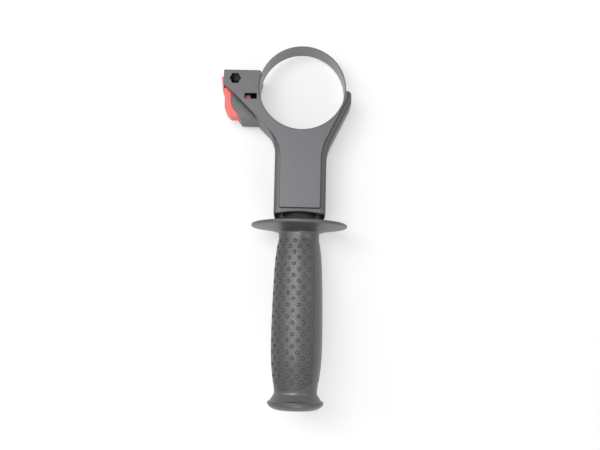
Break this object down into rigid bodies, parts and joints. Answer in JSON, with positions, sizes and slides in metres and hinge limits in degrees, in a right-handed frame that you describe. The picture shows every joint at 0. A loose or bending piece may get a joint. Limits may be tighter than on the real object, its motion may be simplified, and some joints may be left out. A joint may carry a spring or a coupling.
{
  "type": "power tool side handle",
  "caption": "Side handle with a steel clamp band for the tool's collar, a forked holder with a depth rod lock button, and a screw-on grip with a hand guard.",
  "frame": {"origin": "centre of the clamp ring, on the axis of the tool's collar, half way along the band's width", "axes": "+Z along the collar's axis, the way the holder's front panel faces; +Y from the grip towards the far side of the ring; +X away from the button"},
  "size_m": [0.092, 0.2543, 0.0672],
  "materials": {
    "holder": "finely textured moulded nylon",
    "band": "dark treated strip steel",
    "grip": "satin moulded nylon",
    "pads": "matte soft elastomer",
    "button": "satin moulded acetal",
    "zinc_steel": "zinc plated",
    "spring_steel": "bright spring wire"
  },
  "bodies": {
    "holder": {"yoke": "holder", "clamp_band": "band", "thrust_washer": "zinc_steel", "button_spring": "spring_steel"},
    "grip": {"grip_core": "grip", "grip_pad_front": "pads", "grip_pad_back": "pads", "end_cap": "grip", "grip_nut": "zinc_steel"},
    "bolt": {"tension_bolt": "zinc_steel"},
    "button": {"release_button": "button"}
  },
  "joints": [
    {"name": "grip_turn", "type": "hinge", "parent": "holder", "child": "grip", "pos_m": [0, -0.0912, 0], "axis": [0, 1, 0], "range_deg": [-360, 720]},
    {"name": "bolt_draw", "type": "slide", "parent": "holder", "child": "bolt", "axis": [0, -1, 0], "range_m": [-0.00126, 0.00252], "deforming": ["clamp_band"]},
    {"name": "button_press", "type": "slide", "parent": "holder", "child": "button", "axis": [1, 0, 0], "range_m": [0, 0.004], "stiffness_N_per_m": 900, "springref_m": -0.003, "deforming": ["button_spring"]}
  ],
  "couplings": [
    {"joint": "bolt_draw", "follows": "grip_turn", "m_per_rad": 0.00019894}
  ]
}
